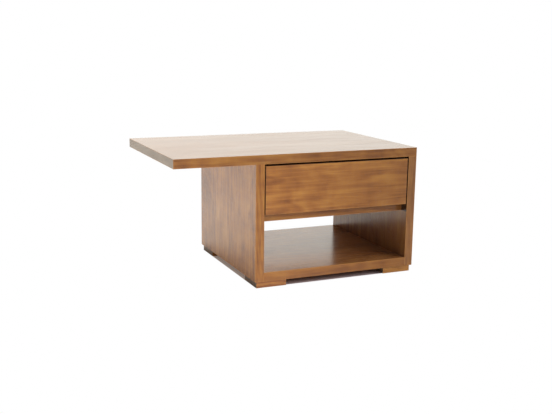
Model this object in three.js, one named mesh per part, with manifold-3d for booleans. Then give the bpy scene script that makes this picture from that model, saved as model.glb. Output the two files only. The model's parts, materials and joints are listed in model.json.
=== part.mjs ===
// Bedside cabinet: a low body with one drawer over an open shelf, and a long top that
// overhangs the body on its left side. The body stands on four flat block feet.
//
// Units are millimetres. +X is the cabinet's right as seen from the front, -Y is its front,
// and +Z is up. The origin is on the floor, under the middle of the top.

import * as THREE from "three";
import { mergeVertices } from "three/addons/utils/BufferGeometryUtils.js";
import Module from "manifold-3d";

const wasm = await Module();
wasm.setup();

// ---------------------------------------------------------------- driving dimensions

const overallWidth = 800;
const overallDepth = 500;
const overallHeight = 405;
const boardThickness = 28;
const topOverhang = 250;

const foot = { width: 98, depth: 94, height: 20, sideInset: 6, frontInset: 5 };

const divider = { bottom: 198, recess: 32 };

const backPanel = { thickness: 9, rebate: 9, edgeGap: 0.5 };

const drawerFront = { thickness: 20, sideGap: 3, topGap: 5.5, bottom: 224.5, recess: 1 };

const drawerBox = {
  length: 450,
  height: 110,
  lipBelow: 19.5, // how far the drawer front hangs below the box, for the fingers
  sideThickness: 12,
  frontThickness: 15,
  bottomThickness: 6,
  bottomHeight: 8, // from the box's lower edge to the underside of its bottom
  grooveDepth: 6,
  grooveHeight: 6.5,
};

const slide = {
  width: 13, // from the cabinet's side panel to the drawer's side
  length: 450,
  frontSetback: 3, // from the back of the drawer front
  sheet: 1.25,
  outerHeight: 45,
  middleHeight: 34,
  innerHeight: 23,
  lipDrop: 1.5,
  middleLength: 440,
};

const ballCage = {
  length: 200,
  frontFromSlide: 120,
  sheet: 0.5,
  ballRadius: 2,
  ballsPerRow: 5,
  ballPitch: 42,
  flangePastBall: 1.6, // how far a flange reaches past its balls' centres
};

// Sheets of a slide that pass each other keep a wider gap than a ball keeps to its track.
const runningGap = { sheet: 0.4, ball: 0.15 };

const dowel = { radius: 4, length: 36, holeDepth: 19, clearance: 0.1, edgeDistance: 60, sides: 10 };

const panHead = { shankRadius: 1.75, headRadius: 3.5, headHeight: 1.25, clearance: 0.15, sides: 8 };

const slideScrew = { ...panHead, woodDepth: 9, endDistance: 36 };

const frontScrew = { ...panHead, length: 28, headHeight: 2.5, sideDistance: 60, edgeDistance: 30 };

const footScrew = { shankRadius: 2, headRadius: 4, length: 34, sunk: 2, clearance: 0.15, sides: 8 };

const backScrew = { shankRadius: 1.5, headRadius: 3, length: 22, sunk: 0.25, clearance: 0.15, sides: 8 };

const holeRunOut = 1; // how far a drill passes the tip of a screw

// ---------------------------------------------------------------- derived planes

const left = -overallWidth / 2;
const right = overallWidth / 2;
const front = -overallDepth / 2;
const back = overallDepth / 2;
const bodyLeft = left + topOverhang;
const innerLeft = bodyLeft + boardThickness;
const innerRight = right - boardThickness;
const bodyMiddle = (innerLeft + innerRight) / 2;
const topUnderside = overallHeight - boardThickness;
const shelfSurface = foot.height + boardThickness;
const dividerTop = divider.bottom + boardThickness;
const dividerFront = front + divider.recess;
const rebateFront = back - backPanel.thickness;
const rebateBottom = dividerTop - backPanel.rebate;

const drawerFrontFace = front + drawerFront.recess;
const boxFrontFace = drawerFrontFace + drawerFront.thickness;
const boxBackFace = boxFrontFace + drawerBox.length;
const boxLeft = innerLeft + slide.width;
const boxRight = innerRight - slide.width;
const boxBottom = drawerFront.bottom + drawerBox.lipBelow;
const boxTop = boxBottom + drawerBox.height;
const boxFloor = boxBottom + drawerBox.bottomHeight;
const slideCentre = (boxBottom + boxTop) / 2;
const slideFront = boxFrontFace + slide.frontSetback;
const slideBack = slideFront + slide.length;

// ---------------------------------------------------------------- solids and booleans

// A closed three.js geometry as a manifold solid.
function solid(geometry) {
  const bare = geometry.index ? geometry.toNonIndexed() : geometry.clone();
  bare.deleteAttribute("normal");
  bare.deleteAttribute("uv");
  const merged = mergeVertices(bare, 1e-4);
  return new wasm.Manifold(
    new wasm.Mesh({
      numProp: 3,
      vertProperties: new Float32Array(merged.attributes.position.array),
      triVerts: new Uint32Array(merged.index.array),
    }),
  );
}

// A manifold solid as a three.js geometry.
function geometryOf(manifold) {
  const mesh = manifold.getMesh();
  const geometry = new THREE.BufferGeometry();
  geometry.setAttribute("position", new THREE.BufferAttribute(mesh.vertProperties, mesh.numProp));
  geometry.setIndex(new THREE.BufferAttribute(mesh.triVerts, 1));
  geometry.computeVertexNormals();
  return geometry;
}

// A box from its lowest corner to its highest corner.
function boxBetween([x0, y0, z0], [x1, y1, z1]) {
  const geometry = new THREE.BoxGeometry(x1 - x0, y1 - y0, z1 - z0);
  return geometry.translate((x0 + x1) / 2, (y0 + y1) / 2, (z0 + z1) / 2);
}

// Turns a shape made along +Z so that it points along the given axis.
const turnTo = {
  "+z": (geometry) => geometry,
  "-z": (geometry) => geometry.rotateX(Math.PI),
  "+x": (geometry) => geometry.rotateY(Math.PI / 2),
  "-x": (geometry) => geometry.rotateY(-Math.PI / 2),
  "-y": (geometry) => geometry.rotateX(Math.PI / 2),
};

// A round hole's cutter: it starts just outside the face at "at" and runs along "axis".
function drill(at, axis, radius, depth, sides) {
  const start = 1;
  const geometry = new THREE.CylinderGeometry(radius, radius, depth + start, sides);
  geometry.rotateX(Math.PI / 2).translate(0, 0, (depth - start) / 2);
  return turnTo[axis](geometry).translate(...at);
}

// A board with cutters taken out of it.
function cut(geometry, cutters) {
  const whole = solid(geometry);
  return geometryOf(cutters.reduce((rest, cutter) => rest.subtract(solid(cutter)), whole));
}

// ---------------------------------------------------------------- materials

const finishes = {
  veneer: { color: 0x9c6238, roughness: 0.35, metalness: 0 },
  backVeneer: { color: 0x8f5a34, roughness: 0.5, metalness: 0 },
  drawerWood: { color: 0xc9a878, roughness: 0.5, metalness: 0 },
  plywood: { color: 0xc2a174, roughness: 0.6, metalness: 0 },
  dowelWood: { color: 0xd2b48c, roughness: 0.7, metalness: 0 },
  zincSteel: { color: 0xb9bcc0, roughness: 0.35, metalness: 1 },
  screwSteel: { color: 0xa9a79c, roughness: 0.4, metalness: 1 },
};

const cabinet = new THREE.Group();

// Adds a named mesh with a material of its own to a group, at a place in that group.
function add(group, name, geometry, finish, [x, y, z] = [0, 0, 0]) {
  const mesh = new THREE.Mesh(geometry, new THREE.MeshStandardMaterial(finishes[finish]));
  mesh.name = name;
  mesh.position.set(x, y, z);
  group.add(mesh);
  return mesh;
}

function addGroup(parent, [x, y, z] = [0, 0, 0]) {
  const group = new THREE.Group();
  group.position.set(x, y, z);
  parent.add(group);
  return group;
}

// ---------------------------------------------------------------- fastener places

// The boards meet in plain butt joints, each held by a front and a back dowel.
const sideMiddles = { left: bodyLeft + boardThickness / 2, right: right - boardThickness / 2 };
const innerFaces = { left: innerLeft, right: innerRight };
const intoSide = { left: "-x", right: "+x" };
const intoBody = { left: "+x", right: "-x" };
const sideNames = ["left", "right"];

const dowelRows = {
  top: { front: front + dowel.edgeDistance, back: back - dowel.edgeDistance },
  bottom: { front: front + dowel.edgeDistance, back: back - dowel.edgeDistance },
  divider: { front: dividerFront + dowel.edgeDistance, back: back - dowel.edgeDistance },
};
const dowelHeights = {
  bottom: foot.height + boardThickness / 2,
  divider: divider.bottom + boardThickness / 2,
};

const slideScrewRows = {
  front: slideFront + slideScrew.endDistance,
  back: slideBack - slideScrew.endDistance,
};

const footPlaces = {
  front_left: [bodyLeft + foot.sideInset, front + foot.frontInset],
  front_right: [right - foot.sideInset - foot.width, front + foot.frontInset],
  rear_left: [bodyLeft + foot.sideInset, back - foot.frontInset - foot.depth],
  rear_right: [right - foot.sideInset - foot.width, back - foot.frontInset - foot.depth],
};

const backScrewColumns = {
  left: innerLeft + dowel.edgeDistance,
  middle: bodyMiddle,
  right: innerRight - dowel.edgeDistance,
};
const backScrewRows = {
  upper: topUnderside + backPanel.rebate / 2,
  lower: dividerTop - backPanel.rebate / 2,
};

function dowelHole(at, axis) {
  return drill(at, axis, dowel.radius + dowel.clearance, dowel.holeDepth, dowel.sides);
}

function screwHole(at, axis, screw, depth) {
  return drill(at, axis, screw.shankRadius + screw.clearance, depth, screw.sides);
}

// Calls make(key, value) for every entry and gives back the results.
function forEachOf(entries, make) {
  return Object.entries(entries).map(([key, value]) => make(key, value));
}

// ---------------------------------------------------------------- the fixed boards

function backScrewPilots(rowHeight) {
  const depth = backScrew.length - backPanel.thickness + holeRunOut;
  return forEachOf(backScrewColumns, (_, x) =>
    screwHole([x, rebateFront, rowHeight], "-y", backScrew, depth),
  );
}

function topPanel() {
  const board = boxBetween([left, front, topUnderside], [right, back, overallHeight]);
  const rebate = boxBetween(
    [innerLeft - backPanel.rebate, rebateFront, topUnderside - 1],
    [innerRight + backPanel.rebate, back + 1, topUnderside + backPanel.rebate],
  );
  const dowelHoles = sideNames.flatMap((side) =>
    forEachOf(dowelRows.top, (_, y) => dowelHole([sideMiddles[side], y, topUnderside], "+z")),
  );
  return cut(board, [rebate, ...dowelHoles, ...backScrewPilots(backScrewRows.upper)]);
}

// A side panel runs from the feet to the top, and carries one slide on its inner face.
function sidePanel(side) {
  const outerFace = side === "left" ? bodyLeft : right;
  const innerFace = innerFaces[side];
  const [low, high] = [Math.min(outerFace, innerFace), Math.max(outerFace, innerFace)];
  const board = boxBetween([low, front, foot.height], [high, back, topUnderside]);
  const rebateCorner = innerFace + (side === "left" ? -1 : 1) * backPanel.rebate;
  const pastInner = innerFace + (side === "left" ? 1 : -1);
  const rebate = boxBetween(
    [Math.min(rebateCorner, pastInner), rebateFront, rebateBottom],
    [Math.max(rebateCorner, pastInner), back + 1, topUnderside + 1],
  );
  const topHoles = forEachOf(dowelRows.top, (_, y) =>
    dowelHole([sideMiddles[side], y, topUnderside], "-z"),
  );
  const crossHoles = ["bottom", "divider"].flatMap((boardName) =>
    forEachOf(dowelRows[boardName], (_, y) =>
      dowelHole([innerFace, y, dowelHeights[boardName]], intoSide[side]),
    ),
  );
  const slideHoles = forEachOf(slideScrewRows, (_, y) =>
    screwHole([innerFace, y, slideCentre], intoSide[side], slideScrew, slideScrew.woodDepth + holeRunOut),
  );
  return cut(board, [rebate, ...topHoles, ...crossHoles, ...slideHoles]);
}

function crossBoardDowelHoles(boardName) {
  return sideNames.flatMap((side) =>
    forEachOf(dowelRows[boardName], (_, y) =>
      dowelHole([innerFaces[side], y, dowelHeights[boardName]], intoBody[side]),
    ),
  );
}

function footCentre([x, y]) {
  return [x + foot.width / 2, y + foot.depth / 2];
}

function bottomPanel() {
  const board = boxBetween([innerLeft, front, foot.height], [innerRight, back, shelfSurface]);
  const depth = footScrew.sunk + footScrew.length - foot.height + holeRunOut;
  const footHoles = forEachOf(footPlaces, (_, place) =>
    screwHole([...footCentre(place), foot.height], "+z", footScrew, depth),
  );
  return cut(board, [...crossBoardDowelHoles("bottom"), ...footHoles]);
}

// The divider carries the drawer compartment's floor. It is set back from the front, so
// that fingers reach the drawer front's lower edge from below.
function dividerPanel() {
  const board = boxBetween([innerLeft, dividerFront, divider.bottom], [innerRight, back, dividerTop]);
  const rebate = boxBetween(
    [innerLeft - 1, rebateFront, rebateBottom],
    [innerRight + 1, back + 1, dividerTop + 1],
  );
  return cut(board, [rebate, ...crossBoardDowelHoles("divider"), ...backScrewPilots(backScrewRows.lower)]);
}

// The countersunk hole of a screw whose axis is +Z: its head's wide face is at "sunk"
// above the face at z = 0, and its cone narrows to the shank at 45 degrees.
function countersink(screw) {
  const headRadius = screw.headRadius + screw.clearance;
  const shankRadius = screw.shankRadius + screw.clearance;
  const coneEnd = screw.sunk + headRadius - shankRadius;
  const far = screw.length + 1;
  const profile = [
    new THREE.Vector2(0, -1),
    new THREE.Vector2(headRadius, -1),
    new THREE.Vector2(headRadius, screw.sunk),
    new THREE.Vector2(shankRadius, coneEnd),
    new THREE.Vector2(shankRadius, far),
    new THREE.Vector2(0, far),
  ];
  return new THREE.LatheGeometry(profile, screw.sides).rotateX(Math.PI / 2);
}

function closeBack() {
  const gap = backPanel.edgeGap;
  const reach = backPanel.rebate - gap;
  const board = boxBetween(
    [innerLeft - reach, rebateFront, dividerTop - reach],
    [innerRight + reach, back, topUnderside + reach],
  );
  const holes = forEachOf(backScrewColumns, (_, x) =>
    forEachOf(backScrewRows, (__, z) => countersink(backScrew).rotateX(Math.PI / 2).translate(x, back, z)),
  ).flat();
  return cut(board, holes);
}

function footBlock() {
  const block = boxBetween([0, 0, 0], [foot.width, foot.depth, foot.height]);
  const [x, y] = footCentre([0, 0]);
  return cut(block, [countersink(footScrew).translate(x, y, 0)]);
}

// ---------------------------------------------------------------- fasteners

function dowelPin(axis) {
  const pin = new THREE.CylinderGeometry(dowel.radius, dowel.radius, dowel.length, dowel.sides);
  return turnTo[axis](pin.rotateX(Math.PI / 2));
}

// A pan-head screw that points along +Z, with the underside of its head at z = 0. The
// shank starts inside the head, and ends in a short point.
function panScrew(screw, length) {
  const point = screw.shankRadius;
  const crown = { radius: screw.headRadius * 0.6, drop: screw.headHeight * 0.4 };
  const profile = [
    new THREE.Vector2(0, -screw.headHeight),
    new THREE.Vector2(crown.radius, -screw.headHeight),
    new THREE.Vector2(screw.headRadius, -screw.headHeight + crown.drop),
    new THREE.Vector2(screw.headRadius, 0),
    new THREE.Vector2(screw.shankRadius, 0),
    new THREE.Vector2(screw.shankRadius, length - point),
    new THREE.Vector2(0, length),
  ];
  return new THREE.LatheGeometry(profile, screw.sides).rotateX(Math.PI / 2);
}

// A countersunk screw that points along +Z, with the wide face of its head at z = 0.
function sunkScrew(screw) {
  const point = screw.shankRadius;
  const profile = [
    new THREE.Vector2(0, 0),
    new THREE.Vector2(screw.headRadius, 0),
    new THREE.Vector2(screw.shankRadius, screw.headRadius - screw.shankRadius),
    new THREE.Vector2(screw.shankRadius, screw.length - point),
    new THREE.Vector2(0, screw.length),
  ];
  return new THREE.LatheGeometry(profile, screw.sides).rotateX(Math.PI / 2);
}

function addCarcassDowels(group) {
  for (const side of sideNames) {
    for (const [row, y] of Object.entries(dowelRows.top)) {
      const at = [sideMiddles[side], y, topUnderside];
      add(group, `dowel_top_${side}_${row}`, dowelPin("+z"), "dowelWood", at);
    }
    for (const board of ["bottom", "divider"]) {
      for (const [row, y] of Object.entries(dowelRows[board])) {
        const at = [innerFaces[side], y, dowelHeights[board]];
        add(group, `dowel_${board}_${side}_${row}`, dowelPin("+x"), "dowelWood", at);
      }
    }
  }
}

function addFeet(group) {
  for (const [name, [x, y]] of Object.entries(footPlaces)) {
    const corner = addGroup(group, [x, y, 0]);
    const [middleX, middleY] = footCentre([0, 0]);
    add(corner, `foot_${name}`, footBlock(), "veneer");
    add(corner, `foot_screw_${name}`, sunkScrew(footScrew), "screwSteel", [middleX, middleY, footScrew.sunk]);
  }
}

function addBackScrews(group) {
  for (const [column, x] of Object.entries(backScrewColumns)) {
    for (const [row, z] of Object.entries(backScrewRows)) {
      const at = [x, back - backScrew.sunk, z];
      add(group, `back_screw_${row}_${column}`, turnTo["-y"](sunkScrew(backScrew)), "screwSteel", at);
    }
  }
}

// ---------------------------------------------------------------- drawer slides

// The slides are drawn for the cabinet's left side: x = 0 is the side panel's inner face,
// and x = slide.width is the drawer's side. The right slide is the mirror image.
const outerCageWeb = slide.sheet + slideScrew.headHeight + runningGap.sheet;
const middleWeb = outerCageWeb + ballCage.sheet + runningGap.sheet;
const innerCageWeb = middleWeb + slide.sheet + runningGap.sheet;
const innerFlangeEnd = innerCageWeb + ballCage.sheet + 2 * runningGap.sheet;
const middleFlangeEnd = slide.width - 2;
const outerFlangeEnd = slide.width - 3;
const trackToBall = slide.sheet + runningGap.ball + ballCage.ballRadius;
const outerRowCentre = slide.outerHeight / 2 - trackToBall;
const innerRowCentre = slide.middleHeight / 2 - trackToBall;

// A channel's section in the X-Z plane: a web from webStart, with flanges to flangeEnd.
// A flange may end in a short lip that turns in towards the middle.
function channelSection(height, webStart, flangeEnd, lip) {
  const sheet = slide.sheet;
  const half = height / 2;
  const turn = Math.sign(flangeEnd - webStart);
  const inner = half - sheet;
  const outline = [
    [webStart, -half],
    [flangeEnd, -half],
    [flangeEnd, -inner + lip],
    [flangeEnd - turn * sheet, -inner + lip],
    [flangeEnd - turn * sheet, -inner],
    [webStart + turn * sheet, -inner],
    [webStart + turn * sheet, inner],
    [flangeEnd - turn * sheet, inner],
    [flangeEnd - turn * sheet, inner - lip],
    [flangeEnd, inner - lip],
    [flangeEnd, half],
    [webStart, half],
  ];
  return outline.filter(([x, z], i) => {
    const [nextX, nextZ] = outline[(i + 1) % outline.length];
    return x !== nextX || z !== nextZ;
  });
}

// Extrudes an X-Z outline along +Y from y = 0.
function extrudeAlongY(outline, length) {
  const shape = new THREE.Shape(outline.map(([x, z]) => new THREE.Vector2(x, -z)));
  const geometry = new THREE.ExtrudeGeometry(shape, { depth: length, bevelEnabled: false });
  return geometry.rotateX(-Math.PI / 2);
}

function mirrored(geometry) {
  const position = geometry.attributes.position;
  for (let i = 0; i < position.count; i += 1) {
    position.setX(i, -position.getX(i));
  }
  const index = geometry.index.array;
  for (let i = 0; i < index.length; i += 3) {
    [index[i + 1], index[i + 2]] = [index[i + 2], index[i + 1]];
  }
  geometry.computeVertexNormals();
  return geometry;
}

// A slide member's screw holes are round clearance holes in its web.
function memberHoles(webFace, axis) {
  return forEachOf(slideScrewRows, (_, y) =>
    screwHole([webFace, y - slideFront, 0], axis, slideScrew, 2 * slide.sheet),
  );
}

function cabinetMember() {
  const section = channelSection(slide.outerHeight, 0, outerFlangeEnd, slide.lipDrop);
  return cut(extrudeAlongY(section, slide.length), memberHoles(0, "+x"));
}

function middleMember() {
  const section = channelSection(slide.middleHeight, middleWeb, middleFlangeEnd, 0);
  return cut(extrudeAlongY(section, slide.middleLength), []);
}

function drawerMember() {
  const section = channelSection(slide.innerHeight, slide.width, innerFlangeEnd, 0);
  return cut(extrudeAlongY(section, slide.length), memberHoles(slide.width, "-x"));
}

// A ball cage: a thin channel with a row of steel balls pressed into each of its flanges.
function ballCageBody(webStart, rowCentre) {
  const { sheet, length, ballRadius, ballsPerRow, ballPitch, flangePastBall } = ballCage;
  const half = rowCentre + sheet / 2;
  const ballX = webStart + sheet + ballRadius;
  const flangeEnd = ballX + flangePastBall;
  const outline = [
    [webStart, -half],
    [flangeEnd, -half],
    [flangeEnd, -half + sheet],
    [webStart + sheet, -half + sheet],
    [webStart + sheet, half - sheet],
    [flangeEnd, half - sheet],
    [flangeEnd, half],
    [webStart, half],
  ];
  const ballSegments = { around: 6, down: 4 };
  const firstBall = (length - (ballsPerRow - 1) * ballPitch) / 2;
  let body = solid(extrudeAlongY(outline, length));
  for (const row of [-rowCentre, rowCentre]) {
    for (let i = 0; i < ballsPerRow; i += 1) {
      const ball = new THREE.SphereGeometry(ballRadius, ballSegments.around, ballSegments.down);
      body = body.add(solid(ball.translate(ballX, firstBall + i * ballPitch, row)));
    }
  }
  return geometryOf(body);
}

function addSlide(group, side) {
  const isLeft = side === "left";
  const place = addGroup(group, [innerFaces[side], slideFront, slideCentre]);
  const handed = (geometry) => (isLeft ? geometry : mirrored(geometry));
  const inward = isLeft ? 1 : -1;
  const cageAt = [0, ballCage.frontFromSlide, 0];
  const middleAt = [0, (slide.length - slide.middleLength) / 2, 0];
  const outerCage = ballCageBody(outerCageWeb, outerRowCentre);
  const innerCage = ballCageBody(innerCageWeb, innerRowCentre);
  add(place, `slide_cabinet_member_${side}`, handed(cabinetMember()), "zincSteel");
  add(place, `slide_middle_member_${side}`, handed(middleMember()), "zincSteel", middleAt);
  add(place, `slide_drawer_member_${side}`, handed(drawerMember()), "zincSteel");
  add(place, `slide_outer_cage_${side}`, handed(outerCage), "zincSteel", cageAt);
  add(place, `slide_inner_cage_${side}`, handed(innerCage), "zincSteel", cageAt);
  const screwLength = slide.sheet + slideScrew.woodDepth;
  for (const [row, y] of Object.entries(slideScrewRows)) {
    const cabinetScrew = turnTo[intoSide[side]](panScrew(slideScrew, screwLength));
    const drawerScrew = turnTo[intoBody[side]](panScrew(slideScrew, screwLength));
    const along = y - slideFront;
    const cabinetAt = [inward * slide.sheet, along, 0];
    const drawerAt = [inward * (slide.width - slide.sheet), along, 0];
    add(place, `slide_cabinet_screw_${side}_${row}`, cabinetScrew, "screwSteel", cabinetAt);
    add(place, `slide_drawer_screw_${side}_${row}`, drawerScrew, "screwSteel", drawerAt);
  }
}

// ---------------------------------------------------------------- drawer

const groove = { low: boxFloor, high: boxFloor + drawerBox.grooveHeight };
const boxInnerLeft = boxLeft + drawerBox.sideThickness;
const boxInnerRight = boxRight - drawerBox.sideThickness;
const boxInnerFront = boxFrontFace + drawerBox.frontThickness;
const boxInnerBack = boxBackFace - drawerBox.sideThickness;

const frontScrewPlaces = {
  lower_left: [boxInnerLeft + frontScrew.sideDistance, groove.high + frontScrew.edgeDistance],
  lower_right: [boxInnerRight - frontScrew.sideDistance, groove.high + frontScrew.edgeDistance],
  upper_left: [boxInnerLeft + frontScrew.sideDistance, boxTop - frontScrew.edgeDistance],
  upper_right: [boxInnerRight - frontScrew.sideDistance, boxTop - frontScrew.edgeDistance],
};

function drawerFrontBoard() {
  const board = boxBetween(
    [innerLeft + drawerFront.sideGap, drawerFrontFace, drawerFront.bottom],
    [innerRight - drawerFront.sideGap, boxFrontFace, topUnderside - drawerFront.topGap],
  );
  const depth = frontScrew.length - drawerBox.frontThickness + holeRunOut;
  return cut(board, forEachOf(frontScrewPlaces, (_, [x, z]) =>
    screwHole([x, boxFrontFace, z], "-y", frontScrew, depth),
  ));
}

function drawerBoxFront() {
  const board = boxBetween([boxInnerLeft, boxFrontFace, boxBottom], [boxInnerRight, boxInnerFront, boxTop]);
  const slot = boxBetween(
    [boxInnerLeft - 1, boxInnerFront - drawerBox.grooveDepth, groove.low],
    [boxInnerRight + 1, boxInnerFront + 1, groove.high],
  );
  const holes = forEachOf(frontScrewPlaces, (_, [x, z]) =>
    screwHole([x, boxInnerFront, z], "-y", frontScrew, drawerBox.frontThickness + 1),
  );
  return cut(board, [slot, ...holes]);
}

function drawerSide(side) {
  const isLeft = side === "left";
  const outerFace = isLeft ? boxLeft : boxRight;
  const innerFace = isLeft ? boxInnerLeft : boxInnerRight;
  const inward = isLeft ? 1 : -1;
  const grooveFloor = innerFace - inward * drawerBox.grooveDepth;
  const pastInner = innerFace + inward;
  const board = boxBetween(
    [Math.min(outerFace, innerFace), boxFrontFace, boxBottom],
    [Math.max(outerFace, innerFace), boxBackFace, boxTop],
  );
  const slot = boxBetween(
    [Math.min(grooveFloor, pastInner), boxFrontFace - 1, groove.low],
    [Math.max(grooveFloor, pastInner), boxBackFace + 1, groove.high],
  );
  const holes = forEachOf(slideScrewRows, (_, y) =>
    screwHole([outerFace, y, slideCentre], intoBody[side], slideScrew, slideScrew.woodDepth + holeRunOut),
  );
  return cut(board, [slot, ...holes]);
}

function addDrawer(group) {
  const { grooveDepth, bottomThickness } = drawerBox;
  add(group, "drawer_front", drawerFrontBoard(), "veneer");
  add(group, "drawer_box_front", drawerBoxFront(), "drawerWood");
  add(group, "drawer_side_left", drawerSide("left"), "drawerWood");
  add(group, "drawer_side_right", drawerSide("right"), "drawerWood");
  add(
    group,
    "drawer_back",
    boxBetween([boxInnerLeft, boxInnerBack, groove.high], [boxInnerRight, boxBackFace, boxTop]),
    "drawerWood",
  );
  add(
    group,
    "drawer_bottom",
    boxBetween(
      [boxInnerLeft - grooveDepth, boxInnerFront - grooveDepth, boxFloor],
      [boxInnerRight + grooveDepth, boxBackFace, boxFloor + bottomThickness],
    ),
    "plywood",
  );
  for (const [name, [x, z]] of Object.entries(frontScrewPlaces)) {
    const screw = turnTo["-y"](panScrew(frontScrew, frontScrew.length));
    add(group, `drawer_front_screw_${name}`, screw, "screwSteel", [x, boxInnerFront, z]);
  }
}

// ---------------------------------------------------------------- the cabinet

function addCarcass(group) {
  add(group, "top_panel", topPanel(), "veneer");
  add(group, "side_panel_left", sidePanel("left"), "veneer");
  add(group, "side_panel_right", sidePanel("right"), "veneer");
  add(group, "bottom_panel", bottomPanel(), "veneer");
  add(group, "divider_panel", dividerPanel(), "veneer");
  add(group, "back_panel", closeBack(), "backVeneer");
  addCarcassDowels(group);
  addFeet(group);
  addBackScrews(group);
}

addCarcass(addGroup(cabinet));
addSlide(cabinet, "left");
addSlide(cabinet, "right");
addDrawer(addGroup(cabinet));

export default cabinet;
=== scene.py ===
"""The looks of a low bedside cabinet: a long top that overhangs on the left, one drawer, an open shelf.

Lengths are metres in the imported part's own frame: the origin is on the floor under the middle of the
top, +X is the cabinet's right seen from the front, -Y is its front and +Z is up.
"""

import json
import math

import bmesh
import bpy
from mathutils import Matrix, Vector

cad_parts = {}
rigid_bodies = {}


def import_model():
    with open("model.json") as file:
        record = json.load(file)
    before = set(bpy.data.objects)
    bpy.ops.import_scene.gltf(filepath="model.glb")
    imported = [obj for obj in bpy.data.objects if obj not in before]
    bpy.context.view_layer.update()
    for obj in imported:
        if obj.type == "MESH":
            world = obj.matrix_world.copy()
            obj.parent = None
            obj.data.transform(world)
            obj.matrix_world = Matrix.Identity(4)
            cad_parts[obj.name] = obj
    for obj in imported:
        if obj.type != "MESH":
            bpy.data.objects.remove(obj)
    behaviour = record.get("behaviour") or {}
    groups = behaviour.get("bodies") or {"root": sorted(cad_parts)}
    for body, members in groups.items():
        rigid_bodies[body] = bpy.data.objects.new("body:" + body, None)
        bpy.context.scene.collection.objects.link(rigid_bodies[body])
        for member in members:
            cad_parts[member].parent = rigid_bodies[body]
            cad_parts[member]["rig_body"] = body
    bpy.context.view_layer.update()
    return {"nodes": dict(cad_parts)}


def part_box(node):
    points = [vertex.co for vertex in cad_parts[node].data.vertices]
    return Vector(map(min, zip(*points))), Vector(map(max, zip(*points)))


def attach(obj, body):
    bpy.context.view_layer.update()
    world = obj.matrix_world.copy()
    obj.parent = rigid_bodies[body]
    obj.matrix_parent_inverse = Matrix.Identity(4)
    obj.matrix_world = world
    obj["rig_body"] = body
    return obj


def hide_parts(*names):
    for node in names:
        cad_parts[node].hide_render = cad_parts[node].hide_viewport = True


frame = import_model()

MM = 0.001
AXES = "XYZ"

# ---------------------------------------------------------------- camera, set up before the pieces

CAMERA_PLACE = (-1.0595, -2.4560, 0.7505)
CAMERA_YAW = 0.4159  # turned from +Y towards +X
CAMERA_PITCH = 0.2057  # down
CAMERA_ROLL = 0.0130
CAMERA_LENS = 54.07  # on a sensor 36 mm wide


def make_camera():
    data = bpy.data.cameras.new("camera")
    data.sensor_width = 36
    data.lens = CAMERA_LENS
    camera = bpy.data.objects.new("camera", data)
    bpy.context.scene.collection.objects.link(camera)
    turn = Matrix.Rotation(-CAMERA_YAW, 4, "Z")
    tilt = Matrix.Rotation(math.pi / 2 - CAMERA_PITCH, 4, "X")
    roll = Matrix.Rotation(CAMERA_ROLL, 4, "Z")
    camera.matrix_world = Matrix.Translation(CAMERA_PLACE) @ turn @ tilt @ roll
    bpy.context.scene.camera = camera


# ---------------------------------------------------------------- shader graphs


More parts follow.
